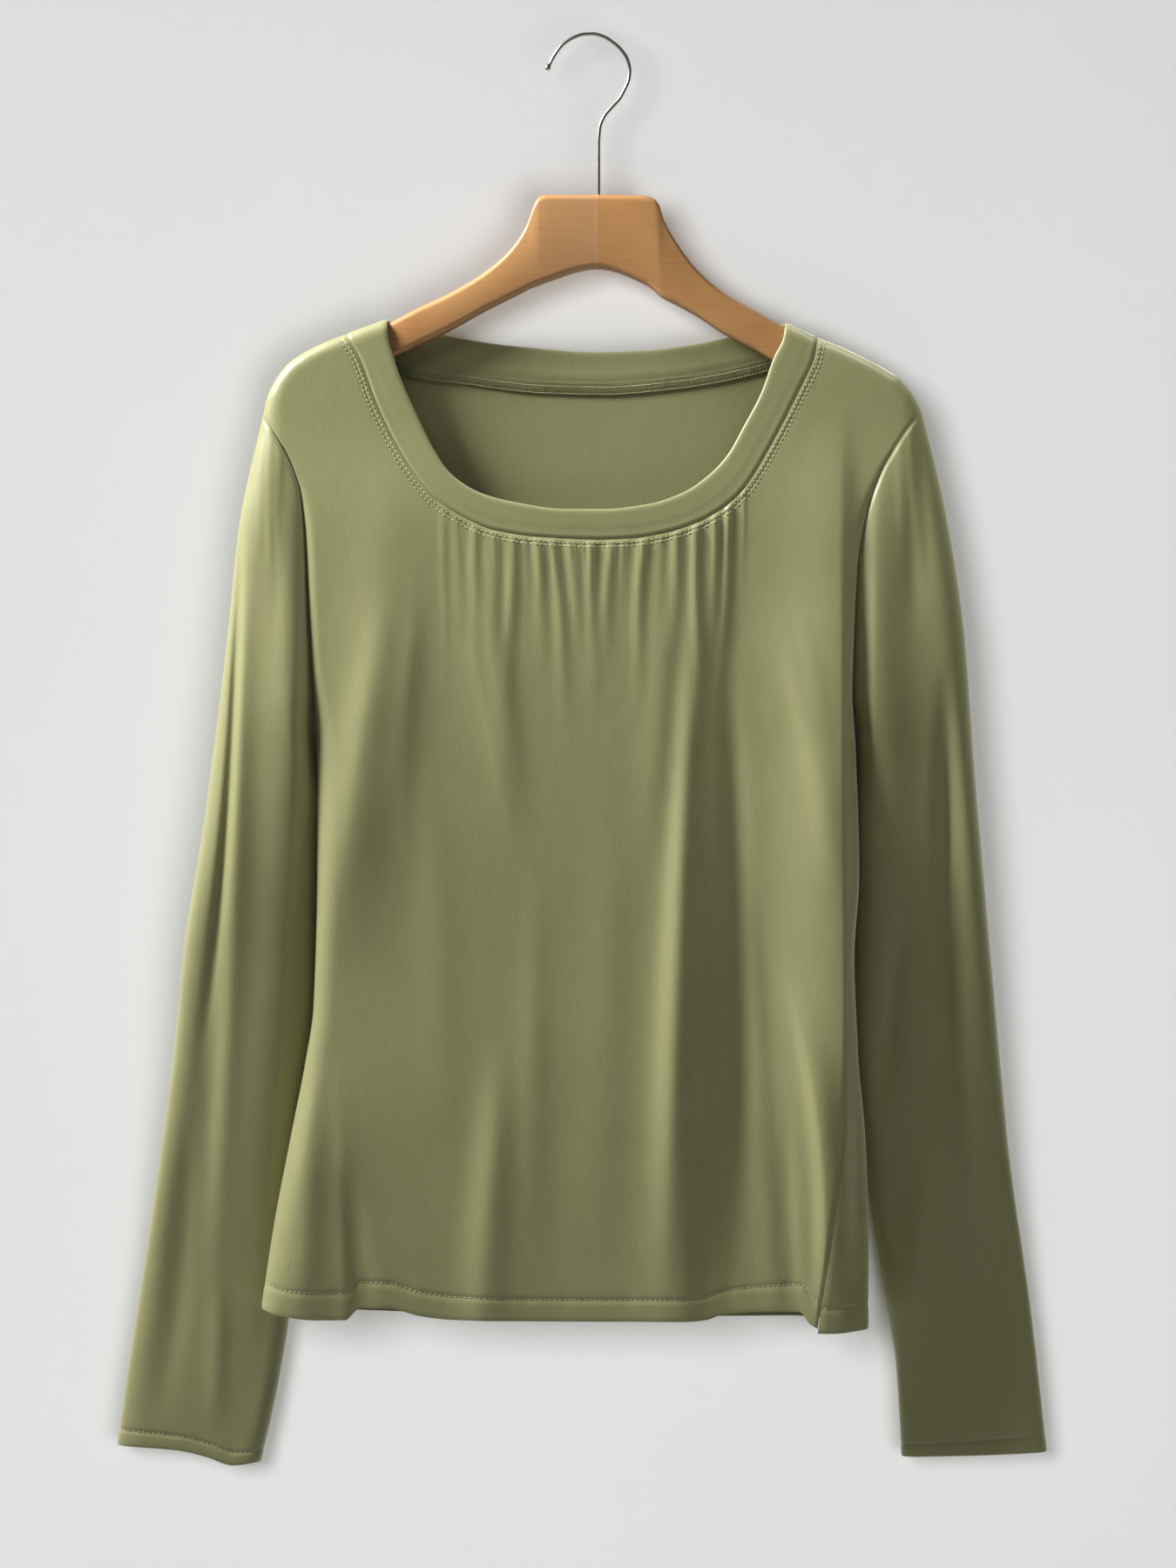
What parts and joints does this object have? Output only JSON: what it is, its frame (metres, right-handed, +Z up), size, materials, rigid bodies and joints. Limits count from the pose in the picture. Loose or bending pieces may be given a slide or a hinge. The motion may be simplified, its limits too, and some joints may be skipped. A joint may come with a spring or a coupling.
{
  "type": "long sleeve top on a wooden hanger",
  "caption": "Long sleeve jersey top with a gathered scoop neck and a folded neckband, hanging flat on a wooden hanger with a wire hook.",
  "frame": {"origin": "inside top of the hanger's hook, where a rail carries it", "axes": "+X to the wearer's left, the front of the top faces -Y, +Z up"},
  "size_m": [0.563, 0.0555, 0.865],
  "materials": {
    "cloth": "matte cotton jersey, olive green",
    "wood": "satin varnish",
    "hook_wire": "satin nickel plate"
  },
  "bodies": {
    "root": {"front": "cloth", "back": "cloth", "sleeve_right": "cloth", "sleeve_left": "cloth", "neckband": "cloth", "hanger_bar": "wood", "hanger_hook": "hook_wire"}
  },
  "joints": []
}
